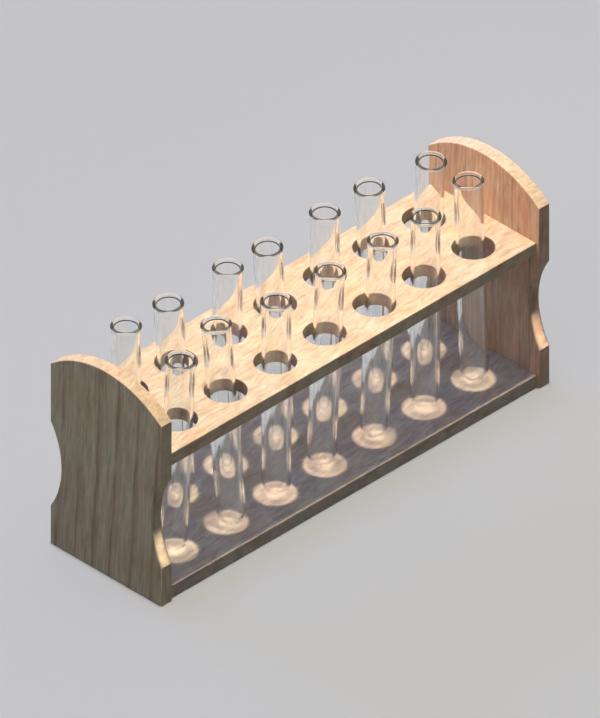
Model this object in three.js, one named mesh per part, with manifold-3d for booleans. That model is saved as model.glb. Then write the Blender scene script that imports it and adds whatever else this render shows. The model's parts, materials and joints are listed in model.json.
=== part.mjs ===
// A wooden test-tube rack with fourteen glass test tubes in two rows of seven.
// Millimetres, +Z up. X runs along the rack, the front is at -Y, and the origin is under its middle.

import * as THREE from 'three';
import { mergeVertices } from 'three/addons/utils/BufferGeometryUtils.js';
import Module from 'manifold-3d';

// The rack's boards
const RACK_LENGTH = 345;
const RACK_DEPTH = 98.5;
const BOARD = 9.5; // thickness of every board

// End panels: an arched top edge and a shallow round waist in each upright edge
const PANEL_SHOULDER = 138;
const PANEL_CROWN = 156;
const WAIST_HEIGHT = 61.5; // height of the waist's deepest point
const WAIST_HALF_CHORD = 32.4;
const WAIST_DEPTH = 9.5;

// Shelf and base, both set back a little from the panels' edges
const SHELF_TOP = 111;
const SHELF_SETBACK = 2.4;
const BASE_SETBACK = 2.0;

// The shelf's holes
const HOLE_RADIUS = 13.75;
const HOLE_PITCH = 44;
const ROW_OFFSET = 22; // from the rack's middle line to each row

// Blind dowels between the boards' ends and the panels
const DOWEL_RADIUS = 2.5;
const DOWEL_OFFSET = 28; // from the rack's middle line
const SOCKET_IN_PANEL = 6;
const SOCKET_IN_BOARD = 12;
const SOCKET_CLEARANCE = 0.1; // all round the dowel
const DOWEL_END_GAP = 0.5; // at each end of the dowel
const DOWEL_CHAMFER = 0.6;

// A test tube: round bottom, thick wall, beaded mouth
const TUBE_LENGTH = 150;
const TUBE_RADIUS = 9.5;
const TUBE_WALL = 1.9;
const BEAD_RADIUS = 1.15; // of the bead's own round section
const BEAD_RING_RADIUS = 9;
const REST_GAP = 0.3; // between a tube's bottom and the base

// Every tube stands loosely in its hole, so its mouth and its foot are off the hole's axis.
// Each entry gives how far off, along X and then Y, from the left end of the row to the right.
const FRONT_TUBES = [
  { mouth: [-1, -5], foot: [0, 2.5] },
  { mouth: [-1.5, 7], foot: [1.5, -3.5] },
  { mouth: [-1, -2], foot: [1, 0] },
  { mouth: [2.5, -2.5], foot: [-1.5, 1.5] },
  { mouth: [5, -2.5], foot: [0, 0] },
  { mouth: [-1.5, -3], foot: [1, 0] },
  { mouth: [1, 5.5], foot: [-0.5, -1] },
];
const BACK_TUBES = [
  { mouth: [1, 1.5], foot: [0, 0] },
  { mouth: [-6.5, 0.5], foot: [3.5, 0] },
  { mouth: [3, 1], foot: [0, 0] },
  { mouth: [-7.5, -0.5], foot: [3.5, 0] },
  { mouth: [0.5, 0.5], foot: [0, 0] },
  { mouth: [-4.5, 0], foot: [3.5, 0] },
  { mouth: [-0.5, -7], foot: [1, 2.5] },
];

// How finely round surfaces are divided
const HOLE_SIDES = 32;
const TUBE_SIDES = 20;
const DOWEL_SIDES = 16;
const ARC_STEPS = 16;
const BOTTOM_STEPS = 5;
const BEAD_STEPS = 4;

// Derived sizes
const SHOULDER_Y = RACK_DEPTH / 2;
const INNER_FACE_X = RACK_LENGTH / 2 - BOARD;
const HOLES_PER_ROW = FRONT_TUBES.length;
const FIRST_HOLE_X = -HOLE_PITCH * (HOLES_PER_ROW - 1) / 2;

const wasm = await Module();
wasm.setup();

function solid(geometry) {
  const plain = geometry.clone();
  plain.deleteAttribute('normal');
  plain.deleteAttribute('uv');
  const merged = mergeVertices(plain);
  return new wasm.Manifold(new wasm.Mesh({
    numProp: 3,
    vertProperties: new Float32Array(merged.attributes.position.array),
    triVerts: new Uint32Array(merged.index.array),
  }));
}

function cut(geometry, cutters) {
  let result = solid(geometry);
  for (const cutter of cutters) result = result.subtract(solid(cutter));
  const mesh = result.getMesh();
  const shaped = new THREE.BufferGeometry();
  shaped.setAttribute('position', new THREE.BufferAttribute(mesh.vertProperties, 3));
  shaped.setIndex(new THREE.BufferAttribute(mesh.triVerts, 1));
  shaped.computeVertexNormals();
  return shaped;
}

// A round bar along X from one x to another
function barAlongX(radius, fromX, toX, y, z) {
  const bar = new THREE.CylinderGeometry(radius, radius, toX - fromX, DOWEL_SIDES);
  bar.rotateZ(Math.PI / 2);
  bar.translate((fromX + toX) / 2, y, z);
  return bar;
}

// Every dowel's place: which end of the rack, which side of its middle line, and in which board
function dowelPlaces() {
  const places = [];
  for (const [board, z] of [['shelf', SHELF_TOP - BOARD / 2], ['base', BOARD / 2]]) {
    for (const [end, side] of [['left', -1], ['right', 1]]) {
      for (const [edge, y] of [['front', -DOWEL_OFFSET], ['back', DOWEL_OFFSET]]) {
        places.push({ board, end, side, edge, y, z });
      }
    }
  }
  return places;
}

function socket({ side, y, z }) {
  const inBoard = side * (INNER_FACE_X - SOCKET_IN_BOARD);
  const inPanel = side * (INNER_FACE_X + SOCKET_IN_PANEL);
  const radius = DOWEL_RADIUS + SOCKET_CLEARANCE;
  return barAlongX(radius, Math.min(inBoard, inPanel), Math.max(inBoard, inPanel), y, z);
}

function socketsIn(board) {
  return dowelPlaces().filter((place) => place.board === board).map(socket);
}

function socketsAt(end) {
  return dowelPlaces().filter((place) => place.end === end).map(socket);
}

function arcRadius(halfChord, rise) {
  return (halfChord ** 2 + rise ** 2) / (2 * rise);
}

// An end panel's outline, drawn with the rack's Y across and its Z upwards
function panelOutline() {
  const waistRadius = arcRadius(WAIST_HALF_CHORD, WAIST_DEPTH);
  const waistCentre = SHOULDER_Y - WAIST_DEPTH + waistRadius;
  const waistAngle = Math.asin(WAIST_HALF_CHORD / waistRadius);
  const crownRise = PANEL_CROWN - PANEL_SHOULDER;
  const crownRadius = arcRadius(SHOULDER_Y, crownRise);
  const crownAngle = Math.asin(SHOULDER_Y / crownRadius);
  const up = Math.PI / 2;

  const outline = new THREE.Shape();
  outline.moveTo(-SHOULDER_Y, 0);
  outline.lineTo(SHOULDER_Y, 0);
  outline.absarc(waistCentre, WAIST_HEIGHT, waistRadius, Math.PI + waistAngle, Math.PI - waistAngle, true);
  outline.lineTo(SHOULDER_Y, PANEL_SHOULDER);
  outline.absarc(0, PANEL_CROWN - crownRadius, crownRadius, up - crownAngle, up + crownAngle, false);
  outline.absarc(-waistCentre, WAIST_HEIGHT, waistRadius, waistAngle, -waistAngle, true);
  outline.closePath();
  return outline;
}

function endPanel(end, outerX) {
  const options = { depth: BOARD, bevelEnabled: false, curveSegments: ARC_STEPS / 2 };
  const board = new THREE.ExtrudeGeometry(panelOutline(), options);
  const toY = new THREE.Vector3(0, 1, 0);
  const toZ = new THREE.Vector3(0, 0, 1);
  const toX = new THREE.Vector3(1, 0, 0);
  board.applyMatrix4(new THREE.Matrix4().makeBasis(toY, toZ, toX));
  board.translate(outerX, 0, 0);
  return cut(board, socketsAt(end));
}

function holeCentres() {
  const centres = [];
  for (const [row, y, tubes] of [['front', -ROW_OFFSET, FRONT_TUBES], ['back', ROW_OFFSET, BACK_TUBES]]) {
    tubes.forEach((lean, index) => {
      centres.push({ row, index, lean, x: FIRST_HOLE_X + index * HOLE_PITCH, y });
    });
  }
  return centres;
}

function shelf() {
  const halfDepth = SHOULDER_Y - SHELF_SETBACK;
  const outline = new THREE.Shape();
  outline.moveTo(-INNER_FACE_X, -halfDepth);
  outline.lineTo(INNER_FACE_X, -halfDepth);
  outline.lineTo(INNER_FACE_X, halfDepth);
  outline.lineTo(-INNER_FACE_X, halfDepth);
  outline.closePath();
  for (const { x, y } of holeCentres()) {
    const hole = new THREE.Path();
    hole.absarc(x, y, HOLE_RADIUS, 0, 2 * Math.PI, true);
    outline.holes.push(hole);
  }
  const options = { depth: BOARD, bevelEnabled: false, curveSegments: HOLE_SIDES / 2 };
  const board = new THREE.ExtrudeGeometry(outline, options);
  board.translate(0, 0, SHELF_TOP - BOARD);
  return cut(board, socketsIn('shelf'));
}

function base() {
  const depth = 2 * (SHOULDER_Y - BASE_SETBACK);
  const board = new THREE.BoxGeometry(2 * INNER_FACE_X, depth, BOARD);
  board.translate(0, 0, BOARD / 2);
  return cut(board, socketsIn('base'));
}

// A chamfered dowel along +X, starting at the origin
function dowel() {
  const length = SOCKET_IN_PANEL + SOCKET_IN_BOARD - 2 * DOWEL_END_GAP;
  const profile = [
    new THREE.Vector2(0, 0),
    new THREE.Vector2(DOWEL_RADIUS - DOWEL_CHAMFER, 0),
    new THREE.Vector2(DOWEL_RADIUS, DOWEL_CHAMFER),
    new THREE.Vector2(DOWEL_RADIUS, length - DOWEL_CHAMFER),
    new THREE.Vector2(DOWEL_RADIUS - DOWEL_CHAMFER, length),
    new THREE.Vector2(0, length),
  ];
  const pin = new THREE.LatheGeometry(profile, DOWEL_SIDES);
  pin.rotateZ(-Math.PI / 2);
  return pin;
}

function arcPoints(centreRadius, centreHeight, radius, fromAngle, toAngle, steps) {
  const points = [];
  for (let step = 0; step <= steps; step += 1) {
    const angle = fromAngle + (toAngle - fromAngle) * step / steps;
    const across = centreRadius + radius * Math.cos(angle);
    points.push(new THREE.Vector2(Math.max(across, 0), centreHeight + radius * Math.sin(angle)));
  }
  return points;
}

// A test tube along +Z, with its origin at the centre of its round bottom
function testTube() {
  const boreRadius = TUBE_RADIUS - TUBE_WALL;
  const mouthHeight = TUBE_LENGTH - TUBE_RADIUS;
  const beadHeight = mouthHeight - BEAD_RADIUS;
  const neckHeight = beadHeight - BEAD_RADIUS;
  const down = -Math.PI / 2;
  const profile = [
    ...arcPoints(0, 0, TUBE_RADIUS, down, 0, BOTTOM_STEPS),
    new THREE.Vector2(TUBE_RADIUS, neckHeight),
    ...arcPoints(BEAD_RING_RADIUS, beadHeight, BEAD_RADIUS, 0, Math.PI, BEAD_STEPS),
    new THREE.Vector2(boreRadius, neckHeight),
    ...arcPoints(0, 0, boreRadius, 0, down, BOTTOM_STEPS),
  ];
  const tube = new THREE.LatheGeometry(profile, TUBE_SIDES);
  tube.rotateX(Math.PI / 2);
  return tube;
}

function piece(name, geometry, look) {
  const mesh = new THREE.Mesh(geometry, new THREE.MeshStandardMaterial(look));
  mesh.name = name;
  return mesh;
}

const WOOD = { color: 0xd8b48a, roughness: 0.7, metalness: 0 };
const DOWEL_WOOD = { color: 0xe2c79c, roughness: 0.8, metalness: 0 };
const GLASS = { color: 0xdfe8ea, roughness: 0.05, metalness: 0, transparent: true, opacity: 0.35 };

const rack = new THREE.Group();
rack.add(piece('left_end_panel', endPanel('left', -RACK_LENGTH / 2), WOOD));
rack.add(piece('right_end_panel', endPanel('right', INNER_FACE_X), WOOD));
rack.add(piece('tube_shelf', shelf(), WOOD));
rack.add(piece('base_board', base(), WOOD));

for (const { board, end, side, edge, y, z } of dowelPlaces()) {
  const pin = piece(`${board}_dowel_${end}_${edge}`, dowel(), DOWEL_WOOD);
  const nearX = side < 0 ? SOCKET_IN_PANEL : SOCKET_IN_BOARD;
  pin.position.set(side * INNER_FACE_X - nearX + DOWEL_END_GAP, y, z);
  rack.add(pin);
}

const tubes = new THREE.Group();
const footHeight = BOARD + REST_GAP + TUBE_RADIUS;
const mouthReach = TUBE_LENGTH - TUBE_RADIUS - BEAD_RADIUS;
for (const { row, index, lean, x, y } of holeCentres()) {
  const tube = piece(`test_tube_${row}_${index + 1}`, testTube(), GLASS);
  const [footX, footY] = lean.foot;
  const [mouthX, mouthY] = lean.mouth;
  const sideways = new THREE.Vector2(mouthX - footX, mouthY - footY);
  const rise = Math.sqrt(mouthReach ** 2 - sideways.lengthSq());
  const along = new THREE.Vector3(sideways.x, sideways.y, rise).normalize();
  tube.quaternion.setFromUnitVectors(new THREE.Vector3(0, 0, 1), along);
  tube.position.set(x + footX, y + footY, footHeight);
  tubes.add(tube);
}

const model = new THREE.Group();
model.add(rack, tubes);
export default model;
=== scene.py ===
"""A wooden test-tube rack with fourteen glass test tubes: its finished look, built around the CAD frame.

Metres throughout, in the frame's own axes: X along the rack, -Y its front, Z up.
"""

import json
import math

import bmesh
import bpy
import numpy as np
from mathutils import Matrix, Vector
from mathutils.geometry import tessellate_polygon


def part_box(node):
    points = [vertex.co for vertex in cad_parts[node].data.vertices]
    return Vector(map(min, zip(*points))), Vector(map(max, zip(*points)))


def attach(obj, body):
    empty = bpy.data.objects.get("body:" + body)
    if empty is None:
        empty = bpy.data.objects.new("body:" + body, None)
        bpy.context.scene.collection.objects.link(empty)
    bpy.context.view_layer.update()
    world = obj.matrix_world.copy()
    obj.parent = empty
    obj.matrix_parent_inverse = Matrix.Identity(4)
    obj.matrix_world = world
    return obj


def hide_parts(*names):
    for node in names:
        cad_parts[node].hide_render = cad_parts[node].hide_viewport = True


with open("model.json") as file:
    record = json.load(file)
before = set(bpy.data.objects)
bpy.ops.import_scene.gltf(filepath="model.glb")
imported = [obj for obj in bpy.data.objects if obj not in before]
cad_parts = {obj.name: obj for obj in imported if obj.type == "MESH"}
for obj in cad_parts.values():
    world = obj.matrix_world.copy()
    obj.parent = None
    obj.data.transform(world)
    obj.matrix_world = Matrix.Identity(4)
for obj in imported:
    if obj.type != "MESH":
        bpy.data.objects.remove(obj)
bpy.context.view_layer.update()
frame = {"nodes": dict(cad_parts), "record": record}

MM = 0.001

# Boards
EDGE_ROUND = 0.5 * MM  # sanded round-over along every board edge
EDGE_STEPS = 4
FLAT_LOOP = 0.4 * MM  # how far past a round-over the flats turn fully flat
ARC_STEPS = 48
HOLE_SIDES = 96
SMOOTH_ANGLE = math.radians(28)  # under the corner angle at the ends of each waist

# End panels
PANEL_SHOULDER = 138 * MM
WAIST_HEIGHT = 61.5 * MM
WAIST_HALF_CHORD = 32.4 * MM
WAIST_DEPTH = 9.5 * MM

# Shelf holes
HOLE_RADIUS = 13.75 * MM
HOLE_PITCH = 44 * MM
ROW_OFFSET = 22 * MM
HOLES_PER_ROW = 7

# Dowel sockets
SOCKET_CLEARANCE = 0.1 * MM
SOCKET_END_GAP = 0.5 * MM
SOCKET_SIDES = 32

# Glass
TUBE_SIDES = 72
TUBE_RADIUS = 9.5 * MM
TUBE_WALL = 1.9 * MM
BEAD_RADIUS = 1.15 * MM
BEAD_RING_RADIUS = 9 * MM
BEAD_START, BEAD_END = -0.34 * math.pi, 1.34 * math.pi  # where its arc leaves the outer and inner walls
NECK_LOOP = 0.6 * MM  # how far under the bead the walls turn fully straight
BOTTOM_STEPS = 20
BEAD_STEPS = 14
GLASS_TINT = (0.985, 0.995, 0.99)
GLASS_ROUGHNESS = 0.02
GLASS_IOR = 1.47
GLASS_LETS_THROUGH = ((0, 0.98), (0.75, 0.95), (1, 0.62))  # of a lamp's light, from square on to grazing

# View
CAMERA_AZIMUTH = math.radians(-45)
CAMERA_ELEVATION = math.atan(math.sqrt(0.5))  # isometric
CAMERA_AIM = Vector((0, 0, 79.7 * MM))
CAMERA_DISTANCE = 1.2
CAMERA_SPAN = 451 * MM

# Stage
FLOOR_HALF = 2.5
FLOOR_DROP = 0.2 * MM  # keeps the floor's face clear of the boards' undersides
FLOOR_PAINT = (0.27, 0.295, 0.325)
FLOOR_ROUGHNESS = 0.8
REFLECTOR_RADIUS = 2.4
REFLECTOR_LOW_GLOW = (1.2, 1.06, 0.88)
REFLECTOR_HIGH_GLOW = (1.5, 1.32, 1.10)
HIGH_GLOW_FROM = 0.3  # how far up from the equator, of the radius
BACKDROP_RADIUS = 3.8  # clear of the floor's corners
BACKDROP_GLOW = (0.59, 0.59, 0.6)
WORLD_COLOUR = (0.88, 0.94, 1.0)
WORLD_STRENGTH = 0.16

# Lights: suns in watts a square metre, the others in watts
WARM_WHITE = (1.0, 0.87, 0.72)
KEY_ENERGY = 2.9
KEY_ANGLE = math.radians(1.5)
SPARKLE_ENERGY = 1.9
SPARKLE_ANGLE = math.radians(3)
GLINT_ENERGY = 1.3
GLINT_ANGLE = math.radians(16)  # wide enough to show as a spot of light in the bottom of each tube
SOFTBOX_POWER = 0.8
SOFTBOX_COLOUR = (0.95, 0.96, 1.0)
SOFTBOX_PLACE = Vector((-0.05, -0.06, 0.75))
SOFTBOX_SIZE = 0.6
BACK_FILL_ENERGY = 2.4
BACK_FILL_COLOUR = (0.24, 0.42, 1.0)
BACK_FILL_FROM = Vector((0, 0.93, 0.36))  # low enough to reach under the shelf
BACK_FILL_ANGLE = math.radians(30)
SIDE_FILL_ENERGY = 0.30
SIDE_FILL_COLOUR = (1.0, 0.95, 0.90)
SIDE_FILL_FROM = Vector((-1, 0, 0))
SIDE_FILL_ANGLE = math.radians(12)
WARMTH_POWER = 0.10
WARMTH_COLOUR = (1.0, 0.61, 0.40)
WARMTH_PLACE = Vector((-0.14, 0, 0.24))
WARMTH_AIM = Vector((0.17, 0, 0.135))
WARMTH_SIZE = 0.12
WARMTH_SPREAD = math.radians(75)
WAIST_POWER = 0.0007
WAIST_BEAM = 7 * MM, 8.2 * MM  # its width along X and along Y, both inside the waist
WAIST_BEAM_SPREAD = math.radians(5)
WAIST_BEAM_PLACE = 167.75 * MM, 44.95 * MM, 70 * MM  # in the back right waist

TUBE_NODES = sorted(name for name in frame["nodes"] if name.startswith("test_tube"))
DOWEL_NODES = sorted(name for name in frame["nodes"] if "_dowel_" in name)


# Meshes

def add_piece(name, mesh, material):
    """A new object of a finished mesh, smooth but for its real corners."""
    mesh.shade_smooth()
    mesh.set_sharp_from_angle(angle=SMOOTH_ANGLE)
    mesh.materials.clear()
    mesh.materials.append(material)
    piece = bpy.data.objects.new(name, mesh)
    bpy.context.scene.collection.objects.link(piece)
    return piece


def closed_mesh(name, vertices, faces):
    """A mesh of one closed body, with its faces turned outwards."""
    mesh = bpy.data.meshes.new(name)
    mesh.from_pydata([tuple(v) for v in vertices], [], faces)
    solid = bmesh.new()
    solid.from_mesh(mesh)
    bmesh.ops.recalc_face_normals(solid, faces=solid.faces)
    if solid.calc_volume(signed=True) < 0:
        bmesh.ops.reverse_faces(solid, faces=solid.faces)
    solid.to_mesh(mesh)
    solid.free()
    return mesh


def arc(centre, radius, start, end, steps):
    """Points of an arc in a plane from one angle to another, both ends included."""
    angles = [start + (end - start) * i / steps for i in range(steps + 1)]
    return [(centre[0] + radius * math.cos(a), centre[1] + radius * math.sin(a)) for a in angles]


def inset(outline, distance):
    """The outline moved to its left by a distance, with mitred corners."""
    points = [Vector(p) for p in outline]
    moved = []
    for i, point in enumerate(points):
        before = (point - points[i - 1]).normalized()
        after = (points[(i + 1) % len(points)] - point).normalized()
        left_before = Vector((-before.y, before.x))
        left = (left_before + Vector((-after.y, after.x))).normalized()
        moved.append(tuple(point + left * (distance / left.dot(left_before))))
    return moved


def board_mesh(name, outlines, thickness, place):
    """A board with its edges rounded over, cut from flat outlines: the outer one, then its holes.

    The outer outline runs anticlockwise and the holes clockwise, so wood is always on the left.
    place puts a point (across, up, depth) of the board into the frame."""
    cap_inset = EDGE_ROUND + FLAT_LOOP
    profile = [(cap_inset, 0)]  # how far in from the outline, and how deep
    for i in range(EDGE_STEPS + 1):
        a = math.pi / 2 * i / EDGE_STEPS
        profile.append((EDGE_ROUND * (1 - math.sin(a)), EDGE_ROUND * (1 - math.cos(a))))
    profile.append((0, cap_inset))
    profile += [(distance, thickness - depth) for distance, depth in reversed(profile)]

    vertices, faces = [], []
    cap_loops = []
    for outline in outlines:
        count, start = len(outline), len(vertices)
        for distance, depth in profile:
            vertices += [place(x, y, depth) for x, y in inset(outline, distance)]
        for ring in range(len(profile) - 1):
            low = start + ring * count
            for i in range(count):
                j = (i + 1) % count
                faces.append((low + i, low + j, low + count + j, low + count + i))
        cap_loops.append((start, inset(outline, cap_inset)))
    flat = [[Vector((x, y, 0)) for x, y in loop] for _, loop in cap_loops]
    triangles = tessellate_polygon(flat)
    for ring in (0, len(profile) - 1):
        index = [start + ring * len(loop) + i for start, loop in cap_loops for i in range(len(loop))]
        faces += [tuple(index[i] for i in triangle) for triangle in triangles]
    return closed_mesh(name, vertices, faces)


def turned_mesh(name, profile, sides):
    """A body turned about Z from a profile of (radius, height) that starts and ends on the axis."""
    vertices, rings = [], []
    for radius, height in profile:
        if radius == 0:
            rings.append([len(vertices)] * sides)
            vertices.append((0, 0, height))
            continue
        rings.append(list(range(len(vertices), len(vertices) + sides)))
        for i in range(sides):
            a = 2 * math.pi * i / sides
            vertices.append((radius * math.cos(a), radius * math.sin(a), height))
    faces = []
    for low, high in zip(rings, rings[1:]):
        for i in range(sides):
            j = (i + 1) % sides
            corners = list(dict.fromkeys((low[i], low[j], high[j], high[i])))
            faces.append(tuple(corners))
    return closed_mesh(name, vertices, faces)


# Materials

class Shader:
    """Adds and links the nodes of one material."""

    def __init__(self, name):
        self.material = bpy.data.materials.new(name)
        self.material.use_nodes = True
        self.tree = self.material.node_tree
        self.tree.nodes.clear()

    def add(self, kind, inputs=None, **settings):
        """A new node with its properties set, and its inputs set to values or linked to sockets."""
        node = self.tree.nodes.new(kind)
        for key, value in settings.items():
            setattr(node, key, value)
        for key, value in (inputs or {}).items():
            if isinstance(value, bpy.types.NodeSocket):
                self.tree.links.new(value, node.inputs[key])
            else:
                node.inputs[key].default_value = value
        return node

    def math(self, operation, a, b=0.0):
        return self.add("ShaderNodeMath", {0: a, 1: b}, operation=operation).outputs[0]

    def vector(self, operation, a, b):
        return self.add("ShaderNodeVectorMath", {0: a, 1: b}, operation=operation).outputs[0]

    def noise(self, at, scale, detail=2.0, roughness=0.5):
        """Noise from 0 to 1, with its own scale in cycles a metre along each axis."""
        stretched = self.vector("MULTIPLY", at, scale)
        settings = {"Vector": stretched, "Scale": 1.0, "Detail": detail, "Roughness": roughness}
        return self.add("ShaderNodeTexNoise", settings)

    def ramp(self, value, *stops):
        """A value read off the straight lines that join (input, output) stops."""
        node = self.add("ShaderNodeValToRGB", {0: value})
        elements = node.color_ramp.elements
        while len(elements) < len(stops):
            elements.new(0.5)
        for element, (position, level) in zip(elements, stops):
            element.position = position
            element.color = (level, level, level, 1)
        return node.outputs[0]

    def mix(self, factor, a, b, blend="MIX"):
        """Two colours mixed, a at factor 0 and b at factor 1."""
        node = self.add("ShaderNodeMix", {0: factor}, data_type="RGBA", blend_type=blend)
        for socket, value in ((node.inputs[6], a), (node.inputs[7], b)):
            if isinstance(value, bpy.types.NodeSocket):
                self.tree.links.new(value, socket)
            else:
                socket.default_value = (*value, 1)
        return node.outputs[2]

    def finish(self, surface):
        """The material, once its surface is linked to its output."""
        self.add("ShaderNodeOutputMaterial", {"Surface": surface})
        return self.material


# Wood's pattern, the same in every board. A scale is in cycles a metre across the board, through it and
# along the grain. Where it has only two figures, the third is so many cycles to each stroke of the fibres.
DRIFT_SCALE = (12, 12, 3)
DRIFT = 14 * MM  # how far slow bends carry the grain sideways
WAVER_SCALE = (40, 40)
WAVERS_PER_STROKE = 0.8
SWIRL_SCALE = (44, 20, 64)
SWIRL = 13 * MM  # how far patches and flecks are stirred
RING_BREAK_SCALE = (60, 60, 10)
PATCH_SCALE = (70, 20, 34)
FLECK_SCALE = (230, 50)
FLECKS_PER_STROKE = 1.4
STRAND_SCALE = (480, 160)
STRANDS_PER_STROKE = 1
STRAND_DARKEST = 0.69
FIBRE_SCALE = (1100, 700)
FIBRES_PER_STROKE = 1.4
FIBRE_DARKEST = 0.80
PORE_SCALE = (1500, 1500, 100)
PORE_SHOW = 0.3
PORE_DEPTH = 0.6  # of the fibres' relief
STREAK_TONE = (0.38, 0.24, 0.16)
PORE_TONE = (0.50, 0.35, 0.25)
FIBRE_RELIEF = 0.06 * MM
FIBRE_RELIEF_STRENGTH = 0.35
WOOD_SHEEN = 0.25

# Stops of ramps, each (input, output). The first's input is a place in a growth ring, from its inner
# edge, 0, to its outer edge, 1. The second's is how squarely a surface faces along the grain, and the
# others' are noise.
RING_DARKNESS = ((0, 0.1), (0.25, 0), (0.7, 0.12), (0.84, 0.55), (0.92, 1), (0.97, 0.6), (1, 0.1))
END_GRAIN_AND_SHADE_SHOW = ((0.4, 0), (0.75, 0.8))
RING_BREAKS = ((0.3, 0.2), (0.6, 1))
PATCHES = ((0.36, 0), (0.66, 1))
FLECKS = ((0.47, 0), (0.66, 1))
PORES = ((0.58, 0), (0.7, 1))
ROUGHNESS = ((0.2, 0.72), (0.8, 0.54))
LINE_DARK, LINE_CLEAR = 0.3, 0.62  # noise where a strand or a fibre is darkest, and where it ends


def wood(name, grain, tilt, waver, stroke, tones, end_and_shade_tone, pith, ring_pitch, rings,
         fleck_tone, flecks, shift):
    """Pale close-grained wood as a solid pattern.

    grain is the axis the fibres follow, X or Z, tilt how far they lean from it on the board's face,
    waver how far they wander and stroke how long each one shows, in metres. tones are its light and
    its warm colour, and end_and_shade_tone its colour where the fibres are cut across; the shelf's
    end_and_shade_tone is darker still, as painted shade on its hole walls, which face along the grain. The
    base board's tones and fleck_tone are darker and bluer than the shelf's, as painted shade under the
    shelf. pith is where the tree's centre line lies, across the face and through it, and ring_pitch how
    far apart its rings are. fleck_tone is the colour of its short flecks. rings and flecks say how
    strongly each shows.
    shift picks the part of the pattern the board is cut from."""
    shader = Shader(name)
    coordinates = shader.add("ShaderNodeTexCoord").outputs
    facing = shader.add("ShaderNodeSeparateXYZ", {0: coordinates["Normal"]}).outputs
    end_grain_and_shade = shader.ramp(shader.math("ABSOLUTE", facing[grain]), *END_GRAIN_AND_SHADE_SHOW)
    apart = shader.add("ShaderNodeSeparateXYZ", {0: coordinates["Object"]}).outputs
    across, through, along = apart["Y"], apart["Z"], apart["X"]
    if grain == "Z":
        through, along = along, through
    upright = shader.add("ShaderNodeCombineXYZ", {"X": across, "Y": through, "Z": along}).outputs[0]
    place = shader.add("ShaderNodeVectorRotate", {"Vector": upright, "Angle": tilt},
                       rotation_type="Y_AXIS").outputs[0]
    moved = shader.vector("ADD", place, shift)

    def swayed(at, scale, reach):
        """The place moved sideways, up to half of reach either way."""
        sway = shader.noise(moved, scale, detail=2.0).outputs["Color"]
        offset = shader.vector("MULTIPLY", shader.vector("SUBTRACT", sway, (0.5, 0.5, 0.5)),
                               (reach, reach, 0))
        return shader.vector("ADD", at, offset)

    waver_scale = (*WAVER_SCALE, WAVERS_PER_STROKE / stroke)
    bent = swayed(swayed(place, DRIFT_SCALE, DRIFT), waver_scale, waver)
    ring_place = shader.add("ShaderNodeSeparateXYZ", {0: bent}).outputs
    squares = [shader.math("POWER", shader.math("SUBTRACT", ring_place[i], pith[i]), 2.0) for i in (0, 1)]
    radius = shader.math("SQRT", shader.math("ADD", *squares))
    ring = shader.math("FRACT", shader.math("DIVIDE", radius, ring_pitch))
    late = shader.ramp(ring, *RING_DARKNESS)
    broken = shader.ramp(shader.noise(moved, RING_BREAK_SCALE, detail=2.0).outputs[0], *RING_BREAKS)
    ring_line = shader.math("MULTIPLY", late, broken)

    wavy = swayed(moved, SWIRL_SCALE, SWIRL)
    patch = shader.ramp(shader.noise(wavy, PATCH_SCALE, detail=3.0).outputs[0], *PATCHES)
    pore = shader.ramp(shader.noise(moved, PORE_SCALE, detail=1.0).outputs[0], *PORES)

    def streaks(at, scale, per_stroke):
        """Noise drawn out along the grain."""
        return shader.noise(at, (*scale, per_stroke / stroke), detail=3.0, roughness=0.6).outputs[0]

    fleck = shader.ramp(streaks(wavy, FLECK_SCALE, FLECKS_PER_STROKE), *FLECKS)
    strand = streaks(bent, STRAND_SCALE, STRANDS_PER_STROKE)
    fibre = streaks(bent, FIBRE_SCALE, FIBRES_PER_STROKE)

    # the board's two tones; the base board's carry painted shade as well as its own colour
    colour = shader.mix(patch, *tones)
    colour = shader.mix(shader.math("MULTIPLY", ring_line, rings), colour, STREAK_TONE)
    colour = shader.mix(shader.math("MULTIPLY", fleck, flecks), colour, fleck_tone)
    colour = shader.mix(shader.math("MULTIPLY", pore, PORE_SHOW), colour, PORE_TONE)
    # the end tone where the fibres are cut across: end grain, and on the shelf's hole walls painted shade
    colour = shader.mix(end_grain_and_shade, colour, end_and_shade_tone)
    for grain_line, darkest in ((strand, STRAND_DARKEST), (fibre, FIBRE_DARKEST)):
        tone = shader.ramp(grain_line, (LINE_DARK, darkest), (LINE_CLEAR, 1))
        colour = shader.mix(1.0, colour, tone, blend="MULTIPLY")

    relief = shader.math("SUBTRACT", fibre, shader.math("MULTIPLY", pore, PORE_DEPTH))
    bump = shader.add("ShaderNodeBump", {
        "Strength": FIBRE_RELIEF_STRENGTH,
        "Distance": FIBRE_RELIEF,
        "Height": relief,
    })
    surface = shader.add("ShaderNodeBsdfPrincipled", {
        "Base Color": colour,
        "Roughness": shader.ramp(fibre, *ROUGHNESS),
        "Specular IOR Level": WOOD_SHEEN,
        "Normal": bump.outputs[0],
    })
    return shader.finish(surface.outputs[0])


def glass():
    """Clear glass. Lamps shine through it, dimmed where they graze its walls."""
    shader = Shader("clear_glass")
    body = shader.add("ShaderNodeBsdfPrincipled", {
        "Base Color": (*GLASS_TINT, 1),
        "Roughness": GLASS_ROUGHNESS,
        "IOR": GLASS_IOR,
        "Transmission Weight": 1.0,
    })
    grazing = shader.add("ShaderNodeLayerWeight", {"Blend": 0.5}).outputs["Facing"]
    dimmed = shader.ramp(grazing, *GLASS_LETS_THROUGH)
    clear = shader.add("ShaderNodeBsdfTransparent", {"Color": dimmed})
    lamp_ray = shader.add("ShaderNodeLightPath").outputs["Is Shadow Ray"]
    mixed = shader.add("ShaderNodeMixShader", {0: lamp_ray, 1: body.outputs[0], 2: clear.outputs[0]})
    return shader.finish(mixed.outputs[0])


# Pieces

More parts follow.
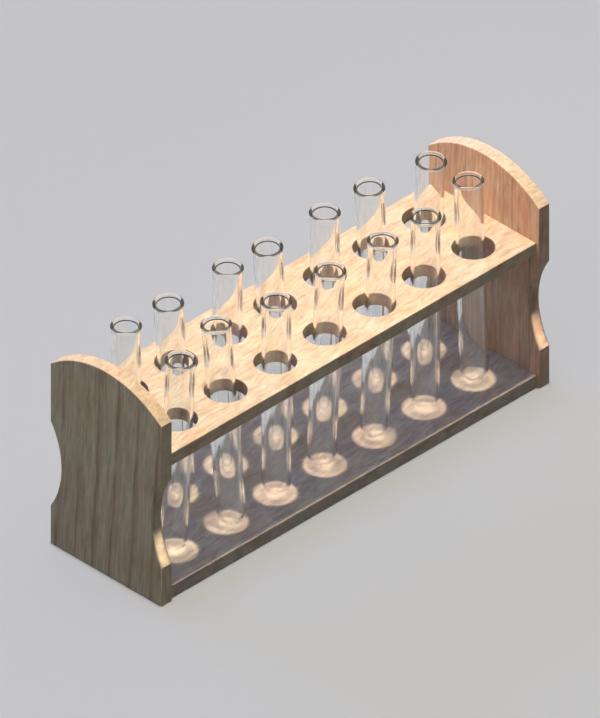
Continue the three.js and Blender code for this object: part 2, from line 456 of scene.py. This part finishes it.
def panel_outline(half_depth, crown):
    """An end panel's outline, across and up: arched top, and a round waist in each upright edge."""
    waist_radius = (WAIST_HALF_CHORD ** 2 + WAIST_DEPTH ** 2) / (2 * WAIST_DEPTH)
    waist_centre = half_depth - WAIST_DEPTH + waist_radius
    waist_angle = math.asin(WAIST_HALF_CHORD / waist_radius)
    rise = crown - PANEL_SHOULDER
    crown_radius = (half_depth ** 2 + rise ** 2) / (2 * rise)
    crown_angle = math.asin(half_depth / crown_radius)
    up = math.pi / 2
    points = [(-half_depth, 0), (half_depth, 0)]
    points += arc((waist_centre, WAIST_HEIGHT), waist_radius,
                  math.pi + waist_angle, math.pi - waist_angle, ARC_STEPS)
    points += arc((0, crown - crown_radius), crown_radius, up - crown_angle, up + crown_angle, ARC_STEPS)
    points += arc((-waist_centre, WAIST_HEIGHT), waist_radius, waist_angle, -waist_angle, ARC_STEPS)
    return points


def end_panel(node):
    """An end panel's mesh, drawn to fill its CAD node's box."""
    low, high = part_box(node)
    outline = panel_outline(high.y, high.z)

    def place(across, up, depth):
        return low.x + depth, across, up

    return board_mesh(node + "_board", [outline], high.x - low.x, place)


def flat_board(node, holes):
    """The mesh of a board lying flat, drawn to fill its CAD node's box."""
    low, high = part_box(node)
    outline = [(low.x, low.y), (high.x, low.y), (high.x, high.y), (low.x, high.y)]

    def place(across, along, depth):
        return across, along, low.z + depth

    return board_mesh(node + "_board", [outline] + holes, high.z - low.z, place)


def shelf_holes():
    """The shelf's two rows of round holes, each a clockwise outline."""
    centres = [(HOLE_PITCH * (i - (HOLES_PER_ROW - 1) / 2), y)
               for y in (-ROW_OFFSET, ROW_OFFSET) for i in range(HOLES_PER_ROW)]
    return [arc(centre, HOLE_RADIUS, 2 * math.pi, 0, HOLE_SIDES)[:-1] for centre in centres]


def cut_sockets(mesh):
    """The board with a blind socket cut round every dowel that enters it."""
    board = bpy.data.objects.new("board_blank", mesh)
    bpy.context.scene.collection.objects.link(board)
    cutters = []
    for node in DOWEL_NODES:
        low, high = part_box(node)
        radius = (high.z - low.z) / 2 + SOCKET_CLEARANCE
        length = high.x - low.x + 2 * SOCKET_END_GAP
        profile = [(0, 0), (radius, 0), (radius, length), (0, length)]
        pin = turned_mesh(node + "_cutter", profile, SOCKET_SIDES)
        end = (low.x - SOCKET_END_GAP, (low.y + high.y) / 2, (low.z + high.z) / 2)
        pin.transform(Matrix.Translation(end) @ Matrix.Rotation(math.pi / 2, 4, "Y"))
        cutter = bpy.data.objects.new(node + "_cutter", pin)
        bpy.context.scene.collection.objects.link(cutter)
        cutters.append(cutter)
        cut = board.modifiers.new(node, "BOOLEAN")
        cut.operation = "DIFFERENCE"
        cut.solver = "EXACT"
        cut.object = cutter
    ready = board.evaluated_get(bpy.context.evaluated_depsgraph_get())
    result = bpy.data.meshes.new_from_object(ready)
    result.name = mesh.name
    for scrap in [board] + cutters:
        bpy.data.objects.remove(scrap)
    return result


def tube_profile(length):
    """A tube's section, (radius, height): up its outside, over the bead and down its inside."""
    bore = TUBE_RADIUS - TUBE_WALL
    bead_height = length - BEAD_RADIUS
    neck = bead_height - BEAD_RADIUS
    down = -math.pi / 2
    outer = arc((0, TUBE_RADIUS), TUBE_RADIUS, down, 0, BOTTOM_STEPS)
    bead = arc((BEAD_RING_RADIUS, bead_height), BEAD_RADIUS, BEAD_START, BEAD_END, BEAD_STEPS)
    inner = arc((0, TUBE_RADIUS), bore, 0, down, BOTTOM_STEPS)
    outside = [(TUBE_RADIUS, neck - NECK_LOOP), (TUBE_RADIUS, neck)]
    inside = [(bore, neck), (bore, neck - NECK_LOOP)]
    return [(0, 0)] + outer[1:] + outside + bead + inside + inner[:-1] + [(0, TUBE_WALL)]


def tube_axis(node):
    """A tube's lowest axis point, its direction and its length, from the CAD tube's own vertices."""
    points = np.array([v.co for v in frame["nodes"][node].data.vertices])
    centre = points.mean(axis=0)
    direction = np.linalg.svd(points - centre, full_matrices=False)[2][0]
    if direction[2] < 0:
        direction = -direction
    along = (points - centre) @ direction
    return Vector(centre + direction * along.min()), Vector(direction), float(np.ptp(along))


def test_tube(node, material):
    """A finer tube in place of the CAD node's, with the same lean."""
    foot, direction, length = tube_axis(node)
    mesh = turned_mesh(node + "_glass", tube_profile(length), TUBE_SIDES)
    mesh.transform(Matrix.Translation(foot) @ direction.to_track_quat("Z", "Y").to_matrix().to_4x4())
    return add_piece(node + "_glass", mesh, material)


def body_of(node):
    """The body that a CAD node rides on."""
    return next(body for body, nodes in frame["record"]["behaviour"]["bodies"].items() if node in nodes)


# Wood of each board: the pith lies well to one side, so the rings cross the face as lines along the grain.
WOODS = {
    "left_end_panel": dict(
        grain="Z", tilt=math.radians(4), waver=2.5 * MM, stroke=33 * MM,
        tones=((0.69, 0.61, 0.43), (0.63, 0.51, 0.34)), end_and_shade_tone=(0.60, 0.43, 0.27),
        pith=(-0.21, 0.06), ring_pitch=12 * MM, rings=1.0,
        fleck_tone=(0.36, 0.22, 0.14), flecks=0.3, shift=(0.3, 1.1, 0.2)),
    "right_end_panel": dict(
        grain="Z", tilt=math.radians(0.5), waver=2.5 * MM, stroke=33 * MM,
        tones=((0.74, 0.55, 0.41), (0.71, 0.44, 0.31)), end_and_shade_tone=(0.63, 0.52, 0.37),
        pith=(0.24, 0.10), ring_pitch=8 * MM, rings=0.6,
        fleck_tone=(0.50, 0.24, 0.15), flecks=0.35, shift=(2.3, 0.4, 1.7)),
    "tube_shelf": dict(
        grain="X", tilt=math.radians(-3), waver=10 * MM, stroke=16 * MM,
        # end tone darker than the wood's own end grain: painted shade on the hole walls, which face along
        # the grain
        tones=((0.62, 0.53, 0.375), (0.62, 0.455, 0.295)), end_and_shade_tone=(0.32, 0.22, 0.19),
        pith=(0.17, 0.21), ring_pitch=13 * MM, rings=0.08,
        fleck_tone=(0.50, 0.28, 0.19), flecks=0.5, shift=(4.1, 2.2, 0.9)),
    "base_board": dict(
        grain="X", tilt=math.radians(-5), waver=10 * MM, stroke=16 * MM,
        # tones and fleck tone darker and bluer than the shelf's wood: its own colour with painted shade
        # from the shelf over it
        tones=((0.54, 0.47, 0.36), (0.505, 0.40, 0.33)), end_and_shade_tone=(0.46, 0.36, 0.30),
        pith=(-0.19, -0.12), ring_pitch=12 * MM, rings=0.2,
        fleck_tone=(0.34, 0.25, 0.22), flecks=0.55, shift=(6.4, 3.5, 2.8)),
    "dowels": dict(
        grain="X", tilt=0.0, waver=2.5 * MM, stroke=33 * MM,
        tones=((0.66, 0.54, 0.38), (0.62, 0.44, 0.30)), end_and_shade_tone=(0.52, 0.40, 0.29),
        pith=(0.05, 0.05), ring_pitch=6 * MM, rings=0.3,
        fleck_tone=(0.44, 0.27, 0.17), flecks=0.2, shift=(1.4, 5.5, 3.8)),
}

for node in ("left_end_panel", "right_end_panel", "tube_shelf", "base_board"):
    material = wood(node + "_wood", **WOODS[node])
    if node.endswith("panel"):
        mesh = end_panel(node)
    else:
        mesh = flat_board(node, shelf_holes() if node == "tube_shelf" else [])
    board = add_piece(node + "_board", cut_sockets(mesh), material)
    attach(board, body_of(node))
    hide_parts(node)

dowel_wood = wood("dowel_wood", **WOODS["dowels"])
for node in DOWEL_NODES:
    frame["nodes"][node].data.materials.clear()
    frame["nodes"][node].data.materials.append(dowel_wood)

clear_glass = glass()
for node in TUBE_NODES:
    tube = test_tube(node, clear_glass)
    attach(tube, body_of(node))
    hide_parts(node)


# Floor, light and camera

floor_mesh = bpy.data.meshes.new("floor")
corners = [(x * FLOOR_HALF, y * FLOOR_HALF, -FLOOR_DROP) for x, y in ((-1, -1), (1, -1), (1, 1), (-1, 1))]
floor_mesh.from_pydata(corners, [], [(0, 1, 2, 3)])
floor_shader = Shader("floor_paint")
floor_paint = floor_shader.add("ShaderNodeBsdfPrincipled", {
    "Base Color": (*FLOOR_PAINT, 1),
    "Roughness": FLOOR_ROUGHNESS,
})
floor_mesh.materials.append(floor_shader.finish(floor_paint.outputs[0]))
floor = bpy.data.objects.new("floor", floor_mesh)
bpy.context.scene.collection.objects.link(floor)
floor.visible_diffuse = False  # takes light but throws none back on the rack


def add_light(name, kind, energy, colour, hidden_from, **settings):
    """A lamp shining straight down from the origin, left out of what the named kinds of ray see."""
    lamp = bpy.data.lights.new(name, kind)
    lamp.energy = energy
    lamp.color = colour
    for key, value in settings.items():
        setattr(lamp, key, value)
    light = bpy.data.objects.new(name, lamp)
    bpy.context.scene.collection.objects.link(light)
    for ray in hidden_from:
        setattr(light, "visible_" + ray, False)
    return light


def shine_from(light, direction):
    """Turns a light to shine from a direction."""
    light.rotation_euler = direction.to_track_quat("Z", "Y").to_euler()


# The key lights the wood from straight above. Its mirror image would run down inside the glass and
# whiten the tubes' feet, so two weaker suns make the reflections in its place.
MIRROR_RAYS = ("glossy", "transmission")
add_light("key", "SUN", KEY_ENERGY, WARM_WHITE, MIRROR_RAYS, angle=KEY_ANGLE)
add_light("sparkle", "SUN", SPARKLE_ENERGY, WARM_WHITE, ("transmission",), angle=SPARKLE_ANGLE)
add_light("glint", "SUN", GLINT_ENERGY, WARM_WHITE, ("diffuse", "transmission"), angle=GLINT_ANGLE)

softbox = add_light("softbox", "AREA", SOFTBOX_POWER, SOFTBOX_COLOUR, MIRROR_RAYS,
                    shape="DISK", size=SOFTBOX_SIZE)
softbox.location = SOFTBOX_PLACE

back_fill = add_light("back_fill", "SUN", BACK_FILL_ENERGY, BACK_FILL_COLOUR, MIRROR_RAYS,
                      angle=BACK_FILL_ANGLE)
shine_from(back_fill, BACK_FILL_FROM)

side_fill = add_light("side_fill", "SUN", SIDE_FILL_ENERGY, SIDE_FILL_COLOUR, MIRROR_RAYS,
                      angle=SIDE_FILL_ANGLE)
shine_from(side_fill, SIDE_FILL_FROM)

panel_warmth = add_light("panel_warmth", "AREA", WARMTH_POWER, WARMTH_COLOUR, MIRROR_RAYS,
                         shape="DISK", size=WARMTH_SIZE, spread=WARMTH_SPREAD)
panel_warmth.location = WARMTH_PLACE
shine_from(panel_warmth, WARMTH_PLACE - WARMTH_AIM)

# A narrow beam down each waist, since the part of the panel above it shades it from the key.
beam_x, beam_y, beam_z = WAIST_BEAM_PLACE
for end in (-1, 1):
    for side in (-1, 1):
        waist_light = add_light("waist_light", "AREA", WAIST_POWER, WARM_WHITE, ("camera",) + MIRROR_RAYS,
                                shape="RECTANGLE", size=WAIST_BEAM[0], size_y=WAIST_BEAM[1],
                                spread=WAIST_BEAM_SPREAD)
        waist_light.location = (end * beam_x, side * beam_y, beam_z)

world = bpy.data.worlds.new("studio")
bpy.context.scene.world = world
world.use_nodes = True
background = world.node_tree.nodes["Background"]
background.inputs["Color"].default_value = (*WORLD_COLOUR, 1)
background.inputs["Strength"].default_value = WORLD_STRENGTH


def glowing_shell(name, radius, low, high):
    """A glowing sphere round the whole stage that lights nothing directly.

    low is its glow up to its equator, and high its glow from HIGH_GLOW_FROM upwards."""
    shell_mesh = bpy.data.meshes.new(name)
    shell = bmesh.new()
    bmesh.ops.create_uvsphere(shell, u_segments=48, v_segments=24, radius=radius)
    shell.to_mesh(shell_mesh)
    shell.free()
    card = Shader(name + "_glow")
    glow = (*low, 1)
    if high != low:
        place = card.add("ShaderNodeTexCoord").outputs["Object"]
        height = card.math("DIVIDE", card.add("ShaderNodeSeparateXYZ", {0: place}).outputs[2], radius)
        glow = card.mix(card.ramp(height, (0, 0), (HIGH_GLOW_FROM, 1)), low, high)
    shell_mesh.materials.append(card.finish(card.add("ShaderNodeEmission", {"Color": glow}).outputs[0]))
    sphere = bpy.data.objects.new(name, shell_mesh)
    bpy.context.scene.collection.objects.link(sphere)
    sphere.visible_diffuse = False
    sphere.visible_shadow = False
    return sphere


reflector = glowing_shell("reflector", REFLECTOR_RADIUS, REFLECTOR_LOW_GLOW, REFLECTOR_HIGH_GLOW)
reflector.visible_camera = False
reflector.visible_transmission = False

backdrop = glowing_shell("backdrop", BACKDROP_RADIUS, BACKDROP_GLOW, BACKDROP_GLOW)
backdrop.visible_glossy = False

bpy.context.scene.view_settings.view_transform = "Standard"

camera_data = bpy.data.cameras.new("camera")
camera_data.type = "ORTHO"
camera_data.ortho_scale = CAMERA_SPAN
camera = bpy.data.objects.new("camera", camera_data)
bpy.context.scene.collection.objects.link(camera)
towards = Vector((
    math.sin(CAMERA_AZIMUTH) * math.cos(CAMERA_ELEVATION),
    -math.cos(CAMERA_AZIMUTH) * math.cos(CAMERA_ELEVATION),
    math.sin(CAMERA_ELEVATION),
))
camera.location = CAMERA_AIM + towards * CAMERA_DISTANCE
camera.rotation_euler = (-towards).to_track_quat("-Z", "Y").to_euler()
bpy.context.scene.camera = camera

bpy.context.view_layer.update()
